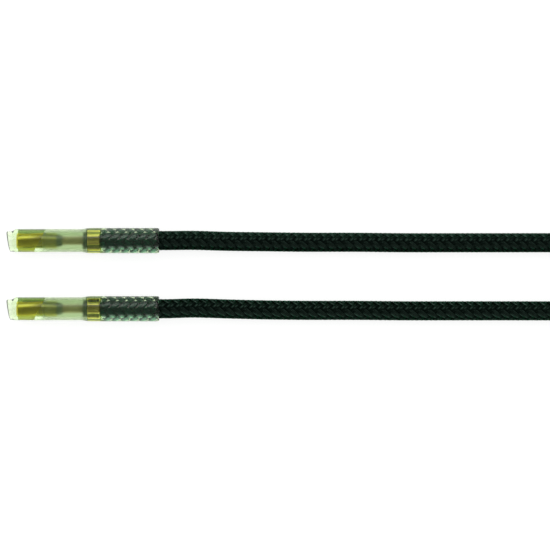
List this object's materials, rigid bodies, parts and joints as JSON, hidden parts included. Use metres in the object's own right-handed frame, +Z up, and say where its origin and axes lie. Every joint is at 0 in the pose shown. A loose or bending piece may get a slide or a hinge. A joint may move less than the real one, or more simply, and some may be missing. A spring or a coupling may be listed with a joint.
{
  "type": "twin cable shutter release",
  "caption": "Twin cable release: one sprung plunger handle drives the needles of braided cables whose brass socket tips stand in clear sleeves.",
  "frame": {"origin": "centre of the whole release's footprint, on the surface that it lies on", "axes": "+X from the cable tips towards the plunger button, +Y across the two cables, +Z up"},
  "size_m": [0.2864, 0.03, 0.0179],
  "materials": {
    "clear_plastic": "clear, faintly green, glossy",
    "tip_brass": "turned, bright, lightly toned",
    "handle_brass": "turned, satin",
    "bronze": "drawn bronze tube, dulled",
    "blackened_steel": "chemically blackened",
    "bright_steel": "ground bright",
    "spring_steel": "drawn wire",
    "dark_fibre": "pressed fibre",
    "black_braid": "braided glazed yarn",
    "satin_chrome": "satin chrome plate on brass",
    "black_enamel": "baked enamel, worn at the edges",
    "red_enamel": "gloss enamel",
    "black_inlay": "moulded, semi-gloss",
    "felt": "pressed felt"
  },
  "bodies": {
    "root": {"cord_a": "black_braid", "cord_b": "black_braid", "guide_tube_a": "bronze", "guide_tube_b": "bronze", "fibre_washer_a": "dark_fibre", "fibre_washer_b": "dark_fibre", "crimp_ferrule_a": "tip_brass", "crimp_ferrule_b": "tip_brass", "outlet_ferrule_a": "handle_brass", "outlet_ferrule_b": "handle_brass", "marker_ring": "red_enamel", "nose_block": "satin_chrome", "nose_grub_screws": "blackened_steel", "barrel": "satin_chrome", "finger_plate": "black_enamel", "end_cap": "satin_chrome", "buffer_washer": "felt", "return_spring": "spring_steel"},
    "sleeve_a": {"tip_sleeve_a": "clear_plastic"},
    "sleeve_b": {"tip_sleeve_b": "clear_plastic"},
    "nipple_a": {"nipple_a": "tip_brass", "swivel_collar_a": "blackened_steel"},
    "nipple_b": {"nipple_b": "tip_brass", "swivel_collar_b": "blackened_steel"},
    "needle_a": {"needle_a": "bright_steel"},
    "needle_b": {"needle_b": "bright_steel"},
    "plunger": {"plunger_stem": "bright_steel", "button": "satin_chrome", "button_inlay": "black_inlay", "yoke": "handle_brass", "yoke_grub_screws": "blackened_steel", "push_wire_a": "bright_steel", "push_wire_b": "bright_steel", "spring_washer": "bright_steel"},
    "lock_screw": {"lock_screw": "handle_brass"},
    "lead_adjuster": {"lead_adjuster": "handle_brass"}
  },
  "joints": [
    {"name": "plunger_press", "type": "slide", "parent": "root", "child": "plunger", "axis": [-1, 0, 0], "range_m": [0, 0.008], "stiffness_N_per_m": 250, "springref_m": -0.006, "deforming": ["return_spring"]},
    {"name": "needle_a_slide", "type": "slide", "parent": "root", "child": "needle_a", "axis": [-1, 0, 0], "range_m": [0, 0.008]},
    {"name": "needle_b_slide", "type": "slide", "parent": "root", "child": "needle_b", "axis": [-1, 0, 0], "range_m": [0, 0.008]},
    {"name": "nipple_a_turn", "type": "hinge", "parent": "root", "child": "nipple_a", "pos_m": [-0.1349, 0.00725, 0.0027], "axis": [1, 0, 0], "continuous": true},
    {"name": "nipple_b_turn", "type": "hinge", "parent": "root", "child": "nipple_b", "pos_m": [-0.1349, -0.00725, 0.0027], "axis": [1, 0, 0], "continuous": true},
    {"name": "sleeve_a_slide", "type": "slide", "parent": "root", "child": "sleeve_a", "axis": [-1, 0, 0], "range_m": [0, 0.032]},
    {"name": "sleeve_b_slide", "type": "slide", "parent": "root", "child": "sleeve_b", "axis": [-1, 0, 0], "range_m": [0, 0.032]},
    {"name": "lock_screw_turn", "type": "hinge", "parent": "root", "child": "lock_screw", "pos_m": [0.1263, 0, 0.015], "axis": [0, 0, 1], "range_deg": [-180, 0]},
    {"name": "lead_adjuster_turn", "type": "hinge", "parent": "root", "child": "lead_adjuster", "pos_m": [0.0826, -0.004, 0.008], "axis": [1, 0, 0], "range_deg": [-180, 180]}
  ],
  "couplings": [
    {"joint": "needle_a_slide", "follows": "plunger_press", "ratio": 1},
    {"joint": "needle_b_slide", "follows": "plunger_press", "ratio": 1}
  ]
}
